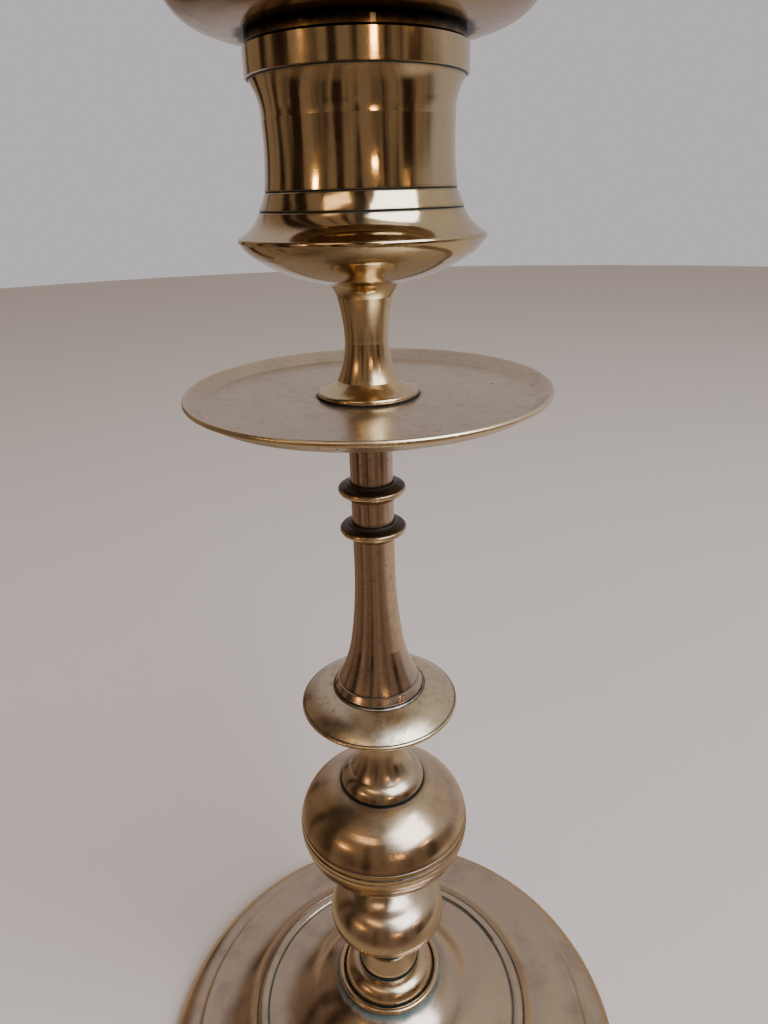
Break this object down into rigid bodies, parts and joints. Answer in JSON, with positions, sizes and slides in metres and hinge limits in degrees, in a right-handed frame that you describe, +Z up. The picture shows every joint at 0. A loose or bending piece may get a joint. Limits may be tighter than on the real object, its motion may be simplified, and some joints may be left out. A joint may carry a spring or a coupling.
{
  "type": "altar candlestick",
  "caption": "Turned brass altar candlestick: stepped round foot, knopped stem with ball and drip pan, and a candle socket with a lift-out nozzle.",
  "frame": {"origin": "centre of the foot's resting circle, on the surface it stands on", "axes": "+Z up along the stem; +X to the right and +Y away from the viewer, both free because the object is turned"},
  "size_m": [0.1632, 0.1632, 0.3399],
  "materials": {
    "foot_brass": "aged satin, pinkish brown",
    "boss_brass": "semi-polished with dark crevices",
    "knop_brass": "semi-polished",
    "ball_brass": "semi-polished",
    "flange_brass": "mottled satin",
    "stem_brass": "semi-polished",
    "ring_brass": "tarnished",
    "pan_brass": "dull satin",
    "polished_brass": "polished",
    "nozzle_brass": "semi-polished",
    "washer_brass": "as turned",
    "nut_steel": "dull zinc",
    "rod_steel": "drawn"
  },
  "bodies": {
    "stick": {"foot": "foot_brass", "crown_bead_ring": "boss_brass", "cushion_boss": "boss_brass", "neck_collar": "boss_brass", "lower_knop": "knop_brass", "ball_throat": "knop_brass", "ball_lower_half": "ball_brass", "ball_upper_half": "ball_brass", "ball_spool": "knop_brass", "bell_flange": "flange_brass", "trumpet_stem": "stem_brass", "lower_stem_ring": "ring_brass", "ring_spacer": "stem_brass", "upper_stem_ring": "ring_brass", "upper_stem": "stem_brass", "drip_pan": "pan_brass", "waist_spool": "polished_brass", "candle_socket": "polished_brass", "foot_washer": "washer_brass", "foot_nut": "nut_steel", "socket_washer": "washer_brass", "socket_nut": "nut_steel", "tie_rod": "rod_steel"},
    "nozzle": {"nozzle_dish": "nozzle_brass", "nozzle_plug": "nozzle_brass", "candle_cup": "nozzle_brass"}
  },
  "joints": [
    {"name": "nozzle_lift", "type": "slide", "parent": "stick", "child": "nozzle", "axis": [0, 0, 1], "range_m": [0, 0.03]}
  ]
}
